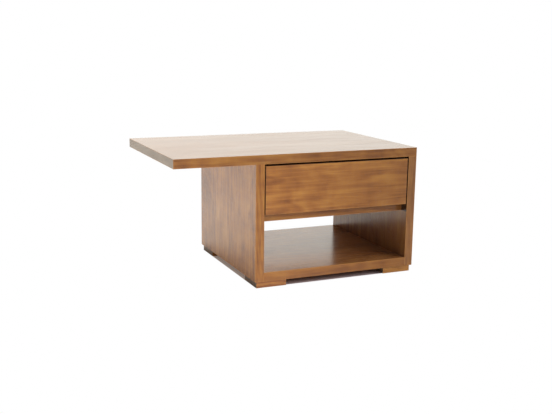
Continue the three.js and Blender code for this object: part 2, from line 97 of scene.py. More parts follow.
class Graph:
    """Adds nodes to one material's or world's node tree and links them."""

    def __init__(self, tree):
        self.tree = tree
        tree.nodes.clear()

    def node(self, kind, settings=None, **inputs):
        """A node of that kind; an input's name is its socket's, with _ for a space."""
        made = self.tree.nodes.new("ShaderNode" + kind)
        for name, value in (settings or {}).items():
            setattr(made, name, value)
        for name, value in inputs.items():
            self.feed(self.socket(made, name), value)
        return made

    def socket(self, made, name):
        wanted = name.replace("_", " ").lower()
        return next(s for s in made.inputs if s.name.lower() == wanted and s.enabled)

    def feed(self, socket, value):
        if isinstance(value, bpy.types.NodeSocket):
            self.tree.links.new(value, socket)
        elif value is not None:
            socket.default_value = value

    def math(self, operation, *values, clamp=False):
        made = self.node("Math", {"operation": operation, "use_clamp": clamp})
        for socket, value in zip(made.inputs, values):
            self.feed(socket, value)
        return made.outputs[0]

    def total(self, *values):
        """The sum of several values."""
        result = values[0]
        for value in values[1:]:
            result = self.math("ADD", result, value)
        return result

    def vector(self, operation, *values):
        made = self.node("VectorMath", {"operation": operation})
        for socket, value in zip([s for s in made.inputs if s.enabled], values):
            self.feed(socket, value)
        return made.outputs["Vector"]

    def spread(self, value, low, high, to_low=0.0, to_high=1.0, smooth=True):
        """value carried from low..high to to_low..to_high, and held there outside."""
        kind = "SMOOTHSTEP" if smooth else "LINEAR"
        made = self.node("MapRange", {"interpolation_type": kind}, value=value)
        for name, number in (
            ("From Min", low),
            ("From Max", high),
            ("To Min", to_low),
            ("To Max", to_high),
        ):
            self.feed(made.inputs[name], number)
        return made.outputs["Result"]

    def noise(self, point, scale, detail=2.0, roughness=0.5, distortion=0.0):
        """Noise, from about 0.3 to 0.7, with its own scale along each axis of the point."""
        stretched = self.vector("MULTIPLY", point, scale)
        made = self.node(
            "TexNoise",
            vector=stretched,
            scale=1.0,
            detail=detail,
            roughness=roughness,
            distortion=distortion,
        )
        return made.outputs[0]

    def mix(self, factor, first, second, blend="MIX"):
        made = self.node("Mix", {"data_type": "RGBA", "blend_type": blend, "clamp_factor": True})
        self.feed(made.inputs[0], factor)
        self.feed(made.inputs[6], first)
        self.feed(made.inputs[7], second)
        return made.outputs[2]

    def ramp(self, value, stops):
        """A colour ramp with (place, colour) stops."""
        made = self.node("ValToRGB", fac=value)
        elements = made.color_ramp.elements
        while len(elements) < len(stops):
            elements.new(1.0)
        for element, (place, colour) in zip(elements, stops):
            element.position = place
            element.color = (*colour, 1.0)
        return made.outputs["Color"]

    def bump(self, height, distance, strength, normal=None):
        made = self.node("Bump", height=height, distance=distance, strength=strength, normal=normal)
        return made.outputs["Normal"]

    def object_point(self):
        return self.node("TexCoord").outputs["Object"]

    def parts(self, point):
        made = self.node("SeparateXYZ", vector=point)
        return list(made.outputs)

    def blend(self, factor, first, second):
        """The first shader where the factor is 0, the second where it is 1."""
        made = self.node("MixShader", fac=factor)
        self.tree.links.new(first.outputs[0], made.inputs[1])
        self.tree.links.new(second.outputs[0], made.inputs[2])
        return made

    def together(self, first, second):
        """Both shaders added up."""
        made = self.node("AddShader")
        self.tree.links.new(first.outputs[0], made.inputs[0])
        self.tree.links.new(second.outputs[0], made.inputs[1])
        return made

    def seen_or_not(self, seen, unseen):
        """A shader that is one thing to look at and another to light with."""
        return self.blend(self.node("LightPath").outputs["Is Camera Ray"], unseen, seen)

    def end(self, kind, shader):
        output = self.node(kind)
        self.tree.links.new(shader.outputs[0], output.inputs["Surface"])


def new_material(name):
    material = bpy.data.materials.new(name)
    material.use_nodes = True
    return material, Graph(material.node_tree)


def finish_surface(graph, **inputs):
    """Ends a material's graph in one principled surface."""
    graph.end("OutputMaterial", graph.node("BsdfPrincipled", **inputs))


# ---------------------------------------------------------------- wood

# The tones were matched to one view under one light, so some of them hold light and shade as well as
# stain, and keep it in any other light. "lean" scales the colour along an axis (from, to, scale at
# from, scale at to), mostly as painted light and shade, and "rim" darkens edges as painted shade.
# Neither is known to be the timber's own colour, and nor are GREY_END, DARK_EDGE, FOOT_END, the BAY
# tones or the colours of STAIN_SHELF and STAIN_FOOT.

WHOLE_TOP = (-0.4, 0.4)
BODY_FRONT = (-0.15, 0.38)
EVEN = ("X", *WHOLE_TOP, 1.0, 1.0)

STAIN = {  # the lacquered boards: a warm brown stain over a pale timber
    "dark": (0.200, 0.066, 0.018),
    "main": (0.350, 0.133, 0.030),
    "light": (0.470, 0.205, 0.044),
    "pore": (0.130, 0.042, 0.014),
    "arris": (0.520, 0.225, 0.060),
    "roughness": 0.22,
    "specular": 0.5,
    "contrast": 1.0,
    "lean": ("X", *BODY_FRONT, 1.06, 0.84),  # painted falloff: darker from left to right
}
# painted falloff on the top and its long edging: darker from left to right
STAIN_TOP = STAIN | {"contrast": 0.5, "lean": ("X", *WHOLE_TOP, 0.98, 0.68)}
EDGE_TOP = STAIN_TOP | {"contrast": 1.5, "lean": ("X", *WHOLE_TOP, 0.905, 0.69)}
STAIN_LEFT = STAIN | {"contrast": 1.6, "lean": ("X", *WHOLE_TOP, 0.97, 0.97)}
STAIN_SHELF = STAIN | {
    "dark": (0.198, 0.074, 0.027),
    "main": (0.345, 0.147, 0.046),
    "light": (0.465, 0.218, 0.062),
    "specular": 0.42,
}
# painted falloff on the shelf's front edge: darker from left to right
EDGE_SHELF = STAIN | {"lean": ("X", *BODY_FRONT, 0.98, 0.79)}
STAIN_FRONT = STAIN | {
    "contrast": 1.35,
    # painted falloff: darker from left to right
    "lean": ("X", *BODY_FRONT, 1.13, 0.79),
    "rim": ("X-", "X+", "Z+"),  # painted shade, so that the gap round the drawer reads as dark
}
# painted shade: the right side darker higher up
STAIN_RIGHT = STAIN_SHELF | {"contrast": 0.9, "specular": 0.44, "lean": ("Z", 0.15, 0.28, 0.86, 0.76)}
BAY_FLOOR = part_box("divider_panel")[0].z
BAY_EDGE = (BAY_FLOOR - 0.5 * MM, BAY_FLOOR + 0.5 * MM)
BAY_SHADE = 0.15  # painted shade on the sides' inner faces, from the divider up
BAY_LEFT = STAIN_LEFT | {"contrast": 1.0, "lean": ("Z", *BAY_EDGE, 0.95, BAY_SHADE)}
BAY_RIGHT = STAIN_RIGHT | {"lean": ("Z", *BAY_EDGE, 0.86, BAY_SHADE)}
STAIN_FOOT = STAIN | {
    "main": (0.350, 0.150, 0.032),
    "contrast": 1.3,
    # painted light: the feet lighter than the stain, and darker from left to right
    "lean": ("X", *BODY_FRONT, 1.45, 1.10),
}
GREY_END = STAIN | {  # the top's left end edging, painted greyer than the stain
    "dark": (0.110, 0.064, 0.034),
    "main": (0.195, 0.115, 0.058),
    "light": (0.240, 0.152, 0.084),
    "pore": (0.070, 0.040, 0.022),
    "roughness": 0.30,
    "lean": EVEN,
}
DARK_EDGE = STAIN | {  # painted shade on the drawer front's top and side edges; shows when it is open
    "dark": (0.050, 0.020, 0.008),
    "main": (0.088, 0.035, 0.013),
    "light": (0.125, 0.052, 0.018),
    "arris": (0.160, 0.066, 0.022),
    "roughness": 0.60,
    "specular": 0.2,
}
FOOT_END = STAIN | {  # painted shade on the outer ends of the feet: darker and greyer than the stain
    "dark": (0.105, 0.068, 0.045),
    "main": (0.175, 0.116, 0.078),
    "light": (0.240, 0.160, 0.108),
    "pore": (0.050, 0.030, 0.020),
    "arris": (0.240, 0.140, 0.080),
    "roughness": 0.45,
    "lean": EVEN,
}

BACK_STAIN = {  # the thin back panel, guessed to have the same stain with little lacquer
    "dark": (0.220, 0.085, 0.030),
    "main": (0.290, 0.122, 0.044),
    "light": (0.345, 0.155, 0.060),
    "pore": (0.140, 0.055, 0.020),
    "arris": (0.380, 0.185, 0.080),
    "roughness": 0.42,
    "specular": 0.5,
    "contrast": 0.9,
    "lean": EVEN,
}

PALE_WOOD = {  # the drawer box, guessed to be a pale timber with a clear lacquer
    "dark": (0.500, 0.330, 0.175),
    "main": (0.610, 0.430, 0.250),
    "light": (0.690, 0.510, 0.320),
    "pore": (0.330, 0.205, 0.110),
    "arris": (0.720, 0.560, 0.380),
    "roughness": 0.36,
    "specular": 0.5,
    "contrast": 0.8,
    "lean": EVEN,
}

# the rim: painted shade on the edges that face the gap round the drawer
RIM_WIDTH = 1.6 * MM
RIM_COLOUR = (0.030, 0.012, 0.005, 1.0)


def board_point(graph, along, depth, offset):
    """A point with x along the grain, y across the face and z through the board, moved by offset."""
    across = next(a for a in AXES if a not in (along, depth))
    parts = dict(zip(AXES, graph.parts(graph.object_point())))
    turned = graph.node("CombineXYZ", x=parts[along], y=parts[across], z=parts[depth])
    return graph.vector("ADD", turned.outputs[0], offset)


def arris_mask(graph, box, joints, width):
    """1 on the board's own edges, 0 from width inwards; sides that butt on another board don't count."""
    low, high = box
    parts = graph.parts(graph.object_point())
    gaps = []
    for i, axis in enumerate(AXES):
        from_low = graph.math("SUBTRACT", parts[i], low[i])
        to_high = graph.math("SUBTRACT", high[i], parts[i])
        if axis + "-" in joints and axis + "+" in joints:
            gaps.append(1.0)
        elif axis + "-" in joints:
            gaps.append(to_high)
        elif axis + "+" in joints:
            gaps.append(from_low)
        else:
            gaps.append(graph.math("MINIMUM", from_low, to_high))
    least = graph.math("MINIMUM", graph.math("MINIMUM", gaps[0], gaps[1]), gaps[2])
    most = graph.math("MAXIMUM", graph.math("MAXIMUM", gaps[0], gaps[1]), gaps[2])
    middle = graph.math("SUBTRACT", graph.total(*gaps), graph.math("ADD", least, most))
    return graph.spread(middle, 0.0, width, 1.0, 0.0)


def rim_mask(graph, box, sides):
    """1 at those sides of the board, 0 a little way in."""
    low, high = box
    parts = graph.parts(graph.object_point())
    gaps = []
    for side in sides:
        i = AXES.index(side[0])
        near, far = (parts[i], low[i]) if side[1] == "-" else (high[i], parts[i])
        gaps.append(graph.math("SUBTRACT", near, far))
    least = gaps[0]
    for gap in gaps[1:]:
        least = graph.math("MINIMUM", least, gap)
    return graph.spread(least, 0.2 * RIM_WIDTH, RIM_WIDTH, 0.95, 0.0)


def ring_figure(graph, point, drift):
    """Flat-sawn figure: growth rings cut near the bark, so that they run in long arches."""
    x, y, z = graph.parts(point)
    wander = graph.math("MULTIPLY", graph.math("SUBTRACT", drift, 0.5), 0.09)
    depth = graph.total(graph.math("MULTIPLY", x, 0.11), z, 0.10, wander)
    across = graph.math("PINGPONG", graph.math("ADD", y, wander), 0.16)
    squares = graph.math("ADD", graph.math("POWER", depth, 2.0), graph.math("POWER", across, 2.0))
    rings = graph.math("DIVIDE", graph.math("SQRT", squares), 0.0075)
    return graph.math("PINGPONG", rings, 1.0)


def wood(name, box, along, depth, offset, tone, joints=()):
    """Stained or clear-lacquered wood whose grain runs along one axis of the object."""
    material, graph = new_material(name)
    point = board_point(graph, along, depth, offset)
    contrast = tone["contrast"]

    drift = graph.noise(point, (2.2, 9.0, 9.0), detail=3.0, distortion=0.4)
    streak = graph.noise(point, (5.0, 95.0, 95.0), detail=4.0, roughness=0.6, distortion=0.5)
    mottle = graph.noise(point, (42.0, 17.0, 17.0), detail=2.0, roughness=0.4)
    fibre = graph.noise(point, (14.0, 780.0, 780.0), detail=2.0, roughness=0.6)
    pore = graph.noise(point, (75.0, 2100.0, 2100.0), detail=1.0, roughness=0.5)
    rings = ring_figure(graph, point, drift)

    shade = graph.total(
        graph.math("MULTIPLY", graph.math("SUBTRACT", drift, 0.5), 1.1 * contrast),
        graph.math("MULTIPLY", graph.math("SUBTRACT", streak, 0.5), 1.2 * contrast),
        graph.math("MULTIPLY", graph.math("SUBTRACT", mottle, 0.5), 0.35 * contrast),
        graph.math("MULTIPLY", graph.math("SUBTRACT", fibre, 0.5), 0.45 * contrast),
        graph.math("MULTIPLY", graph.math("SUBTRACT", rings, 0.5), 0.22 * contrast),
        0.5,
    )
    colour = graph.ramp(shade, ((0.0, tone["dark"]), (0.5, tone["main"]), (1.0, tone["light"])))
    pore_mask = graph.spread(pore, 0.60, 0.72)
    pore_share = graph.math("MULTIPLY", pore_mask, 0.55)
    colour = graph.mix(pore_share, colour, (*tone["pore"], 1.0))
    # the lean scales the colour along one axis, mostly as painted light and shade
    axis, *leaning = tone["lean"]
    where = graph.parts(graph.object_point())[AXES.index(axis)]
    lean = graph.spread(where, *leaning, smooth=False)
    colour = graph.vector("SCALE", colour, lean)

    # lighter arrises: edge wear and a painted highlight along the edges
    wear_and_highlight = arris_mask(graph, box, joints, 2.2 * MM)
    patches = graph.spread(graph.noise(point, (38.0, 38.0, 38.0), detail=3.0), 0.30, 0.62, 0.25, 0.85)
    wear_and_highlight = graph.math("MULTIPLY", wear_and_highlight, patches)
    colour = graph.mix(wear_and_highlight, colour, (*tone["arris"], 1.0))

    # the rim: painted shade along the chosen edges
    if "rim" in tone:
        colour = graph.mix(rim_mask(graph, box, tone["rim"]), colour, RIM_COLOUR)

    sheen = graph.noise(point, (6.0, 30.0, 30.0), detail=3.0)
    roughness = graph.total(
        tone["roughness"] - 0.05,
        graph.math("MULTIPLY", sheen, 0.10),
        graph.math("MULTIPLY", pore_mask, 0.16),
    )
    grooves = graph.math("SUBTRACT", graph.math("MULTIPLY", fibre, 0.5), pore_mask)
    normal = graph.bump(grooves, 0.03 * MM, 0.25)
    finish_surface(
        graph,
        base_color=colour,
        roughness=roughness,
        normal=normal,
        specular_ior_level=tone["specular"],
    )
    return material


# ---------------------------------------------------------------- boards, shaped from the solids

EXPOSED_ARRIS = 0.6 * MM
JOINT_SHARE = 0.2  # the arris on a butt joint, as a share of an exposed one
ARRIS_SEGMENTS = 3
SHARP_ANGLE = math.radians(30)


def welded_copy(node):
    """The solid's mesh with its vertices merged and its flat faces whole."""
    made = bmesh.new()
    made.from_mesh(frame["nodes"][node].data)
    bmesh.ops.remove_doubles(made, verts=made.verts, dist=0.002 * MM)
    bmesh.ops.dissolve_limit(made, angle_limit=0.01, verts=made.verts, edges=made.edges)
    return made


def on_side(points, box, axis, end):
    """True if the points all lie on one side of the box."""
    plane = box[end][axis]
    return all(abs(p[axis] - plane) < 0.02 * MM for p in points)


def outer_side(points, box):
    """The side of the box that the points lie on, such as X+, or None."""
    for axis in range(3):
        for end, sign in enumerate("-+"):
            if on_side(points, box, axis, end):
                return AXES[axis] + sign
    return None


def weigh_arrises(made, box, joints):
    """Gives each edge on the outside of the board the share of the arris width that it is rounded by."""
    weight = made.edges.layers.float.new("bevel_weight_edge")
    for edge in made.edges:
        sides = [outer_side([v.co for v in face.verts], box) for face in edge.link_faces]
        if len(sides) == 2 and None not in sides and sides[0] != sides[1]:
            edge[weight] = JOINT_SHARE if set(sides) & set(joints) else 1.0
        elif edge.is_manifold and edge.calc_face_angle() > SHARP_ANGLE:
            edge.smooth = False


def add_bevel(piece, width):
    """Rounds the marked edges and keeps the large faces flat."""
    bevel = piece.modifiers.new("arrises", "BEVEL")
    bevel.width = width
    bevel.segments = ARRIS_SEGMENTS
    bevel.limit_method = "WEIGHT"
    flat = piece.modifiers.new("flat_faces", "WEIGHTED_NORMAL")
    flat.mode = "FACE_AREA"
    flat.weight = 100
    flat.keep_sharp = True


def paint_faces(piece, direction, material):
    """Faces that look in a direction, such as X+ or Y-, take that material; X is both ways."""
    piece.data.materials.append(material)
    axis = AXES.index(direction[0])
    for face in piece.data.polygons:
        facing = face.normal[axis]
        wanted = {"+": facing, "-": -facing}.get(direction[1:], abs(facing))
        if wanted > 0.7:
            face.material_index = len(piece.data.materials) - 1


def grain_offset(seed):
    """Where in the grain a board is cut from, so that no two boards match."""
    return (seed * 1.37, seed * 0.53, seed * 0.71)


def make_board(node, along, depth, tone, slot, joints=(), arris=EXPOSED_ARRIS, seed=0):
    """A board that stands for a solid, with rounded arrises and an edging strip on its ends."""
    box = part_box(node)
    made = welded_copy(node)
    weigh_arrises(made, box, joints)
    mesh = bpy.data.meshes.new(node + "_board")
    made.to_mesh(mesh)
    made.free()
    piece = bpy.data.objects.new(node + "_board", mesh)
    bpy.context.scene.collection.objects.link(piece)
    across = next(a for a in AXES if a not in (along, depth))
    offset = grain_offset(seed)
    mesh.materials.append(wood(node + "_face", box, along, depth, offset, tone, joints))
    paint_faces(piece, along, wood(node + "_edging", box, across, along, offset, tone, joints))
    mesh.shade_smooth()
    add_bevel(piece, arris)
    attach(piece, frame["nodes"][node]["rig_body"])
    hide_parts(node)
    return piece


def make_carcass():
    sides = {"along": "Z", "depth": "X", "joints": ("Z+",)}
    shelves = {"along": "X", "depth": "Z", "joints": ("X-", "X+")}
    stained = {"slot": "stained_veneer"}
    top = make_board("top_panel", "X", "Z", STAIN_TOP, joints=("Z-",), seed=1, **stained)
    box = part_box("top_panel")
    paint_faces(top, "Y", wood("top_panel_long_edging", box, "X", "Y", (4.0, 2.0, 1.0), EDGE_TOP))
    paint_faces(top, "X-", wood("top_panel_left_edging", box, "Y", "X", (5.0, 1.0, 2.0), GREY_END))
    for name, tone, seed, inside, bay in (
        ("side_panel_left", STAIN_LEFT, 2, "X+", BAY_LEFT),
        ("side_panel_right", STAIN_RIGHT, 3, "X-", BAY_RIGHT),
    ):
        side = make_board(name, tone=tone, seed=seed, **sides, **stained)
        offset = grain_offset(seed)
        inner = wood(name + "_inner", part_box(name), "Z", "X", offset, bay, sides["joints"])
        paint_faces(side, inside, inner)
    crisp = {"joints": ("X-", "X+", "Z-")}
    bottom = make_board("bottom_panel", tone=STAIN_SHELF, seed=4, **(shelves | crisp), **stained)
    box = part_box("bottom_panel")
    edging = wood("bottom_panel_front", box, "X", "Y", (2.0, 5.0, 3.0), EDGE_SHELF, crisp["joints"])
    paint_faces(bottom, "Y", edging)
    make_board("divider_panel", tone=STAIN, seed=5, **shelves, **stained)
    for i, corner in enumerate(("front_left", "front_right", "rear_left", "rear_right")):
        foot = "foot_" + corner
        block = make_board(foot, "X", "Z", STAIN_FOOT, joints=("Z+",), seed=6 + i, **stained)
        paint_faces(block, "X", wood(foot + "_end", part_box(foot), "Y", "X", (i, 2.0, 1.0), FOOT_END))
    make_board("back_panel", "X", "Y", BACK_STAIN, "back_veneer", arris=0.3 * MM, seed=10)


def make_drawer_boards():
    crisp = ("X-", "X+", "Z+")
    front = make_board("drawer_front", "X", "Y", STAIN_FRONT, "stained_veneer", crisp, seed=11)
    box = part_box("drawer_front")
    paint_faces(front, "Z+", wood("drawer_front_top", box, "X", "Z", (3.0, 1.0, 2.0), DARK_EDGE, crisp))
    paint_faces(front, "X", wood("drawer_front_side", box, "Z", "X", (1.0, 3.0, 2.0), DARK_EDGE, crisp))
    pale = {"tone": PALE_WOOD, "slot": "drawer_wood", "arris": 0.8 * MM}
    make_board("drawer_box_front", along="X", depth="Y", seed=12, **pale)
    make_board("drawer_back", along="X", depth="Y", seed=13, **pale)
    make_board("drawer_side_left", along="Y", depth="X", seed=14, **pale)
    make_board("drawer_side_right", along="Y", depth="X", seed=15, **pale)
    make_board("drawer_bottom", "X", "Z", PALE_WOOD, "drawer_plywood", arris=0.3 * MM, seed=16)


# ---------------------------------------------------------------- metal and dowels


def steel(name, base, roughness, along):
    """Zinc-plated steel, drawn along one axis, with faint cloudy passivation and rubbed spots."""
    material, graph = new_material(name)
    point = graph.object_point()
    stretch = [900.0] * 3
    stretch[AXES.index(along)] = 12.0
    drawn = graph.noise(point, stretch, detail=2.0, roughness=0.6)
    cloud = graph.noise(point, (55.0, 55.0, 55.0), detail=4.0, roughness=0.6, distortion=0.5)
    speck = graph.noise(point, (1300.0, 1300.0, 1300.0), detail=1.0)
    dull = [0.78 * c for c in base]
    bright = [min(1.0, 1.14 * c) for c in base]
    shade = graph.total(
        graph.math("MULTIPLY", graph.math("SUBTRACT", drawn, 0.5), 0.9),
        graph.math("MULTIPLY", graph.math("SUBTRACT", cloud, 0.5), 1.2),
        0.5,
    )
    colour = graph.ramp(shade, ((0.0, dull), (0.5, base), (1.0, bright)))
    rubbed = graph.total(
        roughness - 0.08,
        graph.math("MULTIPLY", cloud, 0.22),
        graph.math("MULTIPLY", speck, 0.06),
    )
    grooves = graph.math("ADD", graph.math("MULTIPLY", drawn, 0.7), graph.math("MULTIPLY", speck, 0.3))
    normal = graph.bump(grooves, 0.02 * MM, 0.3)
    finish_surface(graph, base_color=colour, metallic=1.0, roughness=rubbed, normal=normal)
    return material


def add_ring(made, radius, height, sides, wobble=None):
    """A ring of vertices round +Z; wobble(share) scales the radius at that share of a turn."""
    ring = []
    for i in range(sides):
        angle = math.tau * i / sides
        reach = radius * (wobble(i / sides) if wobble else 1.0)
        ring.append(made.verts.new((reach * math.cos(angle), reach * math.sin(angle), height)))
    return ring


def join_rings(made, rings, first_cap=True, last_cap=True):
    """Quads from each ring to the next; rings run along +Z, and the caps close the ends."""
    for low, high in zip(rings, rings[1:]):
        for i in range(len(low)):
            j = (i + 1) % len(low)
            made.faces.new((low[i], low[j], high[j], high[i]))
    if first_cap:
        made.faces.new(rings[0][::-1])
    if last_cap:
        made.faces.new(rings[-1])


SCREW_SIDES = 24
THREAD_PITCH = 1.8 * MM
RINGS_PER_PITCH = 6
THREAD_ROOT = 0.72  # the core's radius as a share of the shank's


def cross_outline(made, reach, height):
    """The outline of a cross recess, with one vertex for each vertex of a round ring."""
    width = 0.3 * reach
    middle = (reach + width) / 2
    quadrant = [(reach, 0), (reach, width), (middle, width), (width, width), (width, middle), (width, reach)]
    places = []
    for turn in range(4):
        for x, y in quadrant:
            for _ in range(turn):
                x, y = -y, x
            places.append((x, y))
    return [made.verts.new((x, y, height)) for x, y in places]


def thread_rings(made, start, end, radius):
    """A screw thread from start to end, which tapers to a point over its last two turns."""
    rings = []
    count = round((end - start) / THREAD_PITCH * RINGS_PER_PITCH)
    for k in range(count):
        height = start + (end - start) * k / count
        taper = min(1.0, (end - height) / (2 * THREAD_PITCH))
        run_in = min(1.0, (height - start) / THREAD_PITCH)

        def tooth(share, turns=height / THREAD_PITCH, run_in=run_in):
            place = (turns - share) % 1.0
            crest = max(0.0, 1.0 - abs(2.0 * place - 1.0) * 1.8)
            return THREAD_ROOT + (1.0 - THREAD_ROOT) * crest * run_in

        rings.append(add_ring(made, radius * taper, height, SCREW_SIDES, tooth))
    return rings


def screw_mesh(name, head, shank, length, head_height):
    """A wood screw along +Z with a cross recess. Without a head height its head is countersunk."""
    made = bmesh.new()
    sunk = not head_height
    top = -head_height
    if sunk:
        profile = [(0.97 * head, 0.0), (head, 0.12 * MM), (shank * THREAD_ROOT, head - shank * THREAD_ROOT)]
        recess = 0.62 * (head - shank)
    else:
        profile = [
            (0.70 * head, top),
            (0.90 * head, 0.78 * top),
            (head, 0.45 * top),
            (head, 0.1 * top),
            (0.96 * head, 0.0),
            (shank * THREAD_ROOT, 0.0),
        ]
        recess = 0.72 * head_height
    rings = [cross_outline(made, 0.3 * head, top + recess), cross_outline(made, 0.58 * head, top)]
    rings += [add_ring(made, radius, height, SCREW_SIDES) for radius, height in profile]
    start = profile[-1][1]
    rings += thread_rings(made, start + 0.2 * MM, length, shank)
    tip = made.verts.new((0, 0, length))
    join_rings(made, rings, last_cap=False)
    last = rings[-1]
    for i in range(len(last)):
        made.faces.new((last[i], last[(i + 1) % len(last)], tip))
    bmesh.ops.recalc_face_normals(made, faces=made.faces)
    mesh = bpy.data.meshes.new(name)
    made.to_mesh(mesh)
    made.free()
    mesh.shade_smooth()
    mesh.set_sharp_from_angle(angle=SHARP_ANGLE)
    return mesh


def stand_for(node, mesh, place=None, axis="Z+"):
    """A new piece that stands for a solid; given a place, its +Z is turned to the axis there."""
    piece = bpy.data.objects.new(node + "_piece", mesh)
    bpy.context.scene.collection.objects.link(piece)
    if place:
        direction = Vector((0.0, 0.0, 0.0))
        direction[AXES.index(axis[0])] = 1.0 if axis[1] == "+" else -1.0
        turn = direction.to_track_quat("Z", "Y").to_matrix().to_4x4()
        piece.matrix_world = Matrix.Translation(place) @ turn
    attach(piece, frame["nodes"][node]["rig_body"])
    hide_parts(node)
    return piece


def place_screws(nodes, axis, shank, head_height=0.0):
    """Screws that stand for these solids, all of one size and pointing one way."""
    i = AXES.index(axis[0])
    low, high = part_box(nodes[0])
    length = high[i] - low[i] - head_height
    head = (high[i - 1] - low[i - 1]) / 2
    mesh = screw_mesh(nodes[0].rsplit("_", 2)[0], head, shank, length, head_height)
    mesh.materials.append(steel(mesh.name, (0.46, 0.44, 0.38), 0.34, "Z"))
    for node in nodes:
        low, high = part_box(node)
        place = (low + high) / 2
        place[i] = low[i] + head_height if axis[1] == "+" else high[i] - head_height
        stand_for(node, mesh, place, axis)


def make_screws():
    names = sorted(frame["nodes"])
    place_screws([n for n in names if n.startswith("foot_screw")], "Z+", 2.0 * MM)
    place_screws([n for n in names if n.startswith("back_screw")], "Y-", 1.5 * MM)
    place_screws([n for n in names if n.startswith("drawer_front_screw")], "Y-", 1.75 * MM, 2.5 * MM)
    for kind, side, axis in (
        ("cabinet", "left", "X-"),
        ("cabinet", "right", "X+"),
        ("drawer", "left", "X+"),
        ("drawer", "right", "X-"),
    ):
        nodes = [n for n in names if n.startswith(f"slide_{kind}_screw_{side}")]
        place_screws(nodes, axis, 1.75 * MM, 1.25 * MM)


BEECH = {
    "dark": (0.470, 0.285, 0.155),
    "main": (0.580, 0.385, 0.225),
    "light": (0.650, 0.460, 0.290),
    "pore": (0.330, 0.180, 0.090),
    "arris": (0.660, 0.480, 0.310),
    "roughness": 0.62,
    "specular": 0.5,
    "contrast": 0.7,
    "lean": EVEN,
}


def make_dowels():
    """Fluted beech pins with chamfered ends, a little slimmer than their holes."""
    radius = 3.86 * MM
    chamfer = 1.2 * MM
    flutes = 16
    for node in sorted(n for n in frame["nodes"] if n.startswith("dowel_")):
        low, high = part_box(node)
        axis = "Z" if "_top_" in node else "X"
        half = (high - low)[AXES.index(axis)] / 2
        made = bmesh.new()

        def flute(share):
            return 1.0 if round(share * flutes * 4) % 4 in (0, 1) else 0.93

        stations = ((0.82, -half), (1.0, chamfer - half), (1.0, half - chamfer), (0.82, half))
        join_rings(made, [add_ring(made, radius * r, z, flutes * 4, flute) for r, z in stations])
        mesh = bpy.data.meshes.new(node)
        made.to_mesh(mesh)
        made.free()
        box = (Vector((-1, -1, -half)), Vector((1, 1, half)))
        offset = (0.3 * low.x, 0.7 * low.y, 0.5 * low.z)
        mesh.materials.append(wood(node, box, "Z", "X", offset, BEECH))
        stand_for(node, mesh, (low + high) / 2, axis + "+")


# ---------------------------------------------------------------- drawer slides

SLIDE_SHEET = 1.25 * MM
SLIDE_LIP = 1.5 * MM
CAGE_SHEET = 0.5 * MM
BALL_RADIUS = 2.0 * MM
BALL_TO_EDGE = 1.6 * MM  # from a ball's middle to the edge of its cage's flange
SOLID_BALL_REACH = math.sin(math.radians(60))  # a solid's ball has six sides, so it is lower than round
BALL_COUNT = 5
BALL_PITCH = 42 * MM
SCREW_HOLE = 1.9 * MM
BEND_STEPS = 4


def rounded_outline(corners):
    """An outline whose corners, given as (x, z, radius), are arcs."""
    points = []
    for i, (x, z, radius) in enumerate(corners):
        here = Vector((x, z))
        before = Vector(corners[i - 1][:2]) - here
        after = Vector(corners[(i + 1) % len(corners)][:2]) - here
        if radius == 0:
            points.append(here)
            continue
        start = here + before.normalized() * radius
        end = here + after.normalized() * radius
        for k in range(BEND_STEPS + 1):
            t = k / BEND_STEPS
            points.append(start * (1 - t) ** 2 + here * 2 * t * (1 - t) + end * t**2)
    return points


def channel_outline(web, flange_end, half_height, sheet, lip):
    """The section of a folded channel: its web's outer face is at web, its flanges reach flange_end."""
    turn = sheet if flange_end > web else -sheet
    inner = half_height - sheet
    hem = 0.35 * sheet
    half = [(web, half_height, 1.7 * sheet), (flange_end, half_height, hem), (flange_end, inner - lip, hem)]
    if lip:
        half += [(flange_end - turn, inner - lip, hem), (flange_end - turn, inner, 0)]
    half.append((web + turn, inner, 0.7 * sheet))
    return half + [(x, -z, radius) for x, z, radius in reversed(half)]


def make_channel(node, web_low, sheet, lip=0.0):
    """The folded channel that fills a solid's box; its web is on the low or the high side of X."""
    low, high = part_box(node)
    web, flange_end = (low.x, high.x) if web_low else (high.x, low.x)
    middle = (low.z + high.z) / 2
    outline = rounded_outline(channel_outline(web, flange_end, high.z - middle, sheet, lip))
    made = bmesh.new()
    rings = []
    for y in (low.y, high.y):
        rings.append([made.verts.new((p.x, y, middle + p.y)) for p in outline])
    join_rings(made, rings)
    bmesh.ops.recalc_face_normals(made, faces=made.faces)
    return made


def add_plug(made, place, length, radius):
    """A plug across X, as long as said along Y and round-ended, to punch a hole with."""
    reach = max(0.0, length / 2 - radius)
    rings = []
    for side in (-3 * MM, 3 * MM):
        ring = []
        for i in range(24):
            angle = math.tau * (i + 0.5) / 24
            end = math.copysign(reach, math.cos(angle))
            y = place.y + end + radius * math.cos(angle)
            ring.append(made.verts.new((place.x + side, y, place.z + radius * math.sin(angle))))
        rings.append(ring)
    join_rings(made, rings)


def as_object(name, made):
    mesh = bpy.data.meshes.new(name)
    bmesh.ops.recalc_face_normals(made, faces=made.faces)
    made.to_mesh(mesh)
    made.free()
    made_object = bpy.data.objects.new(name, mesh)
    bpy.context.scene.collection.objects.link(made_object)
    return made_object


def punched(name, made, plugs):
    """The mesh of a solid with the plugs cut out of it."""
    body = as_object(name, made)
    cutter = as_object(name + "_plugs", plugs)
    cut = body.modifiers.new("punch", "BOOLEAN")
    cut.operation = "DIFFERENCE"
    cut.solver = "EXACT"
    cut.object = cutter
    shaped = body.evaluated_get(bpy.context.evaluated_depsgraph_get())
    mesh = bpy.data.meshes.new_from_object(shaped)
    for spare in (body, cutter):
        bpy.data.objects.remove(spare)
    return mesh


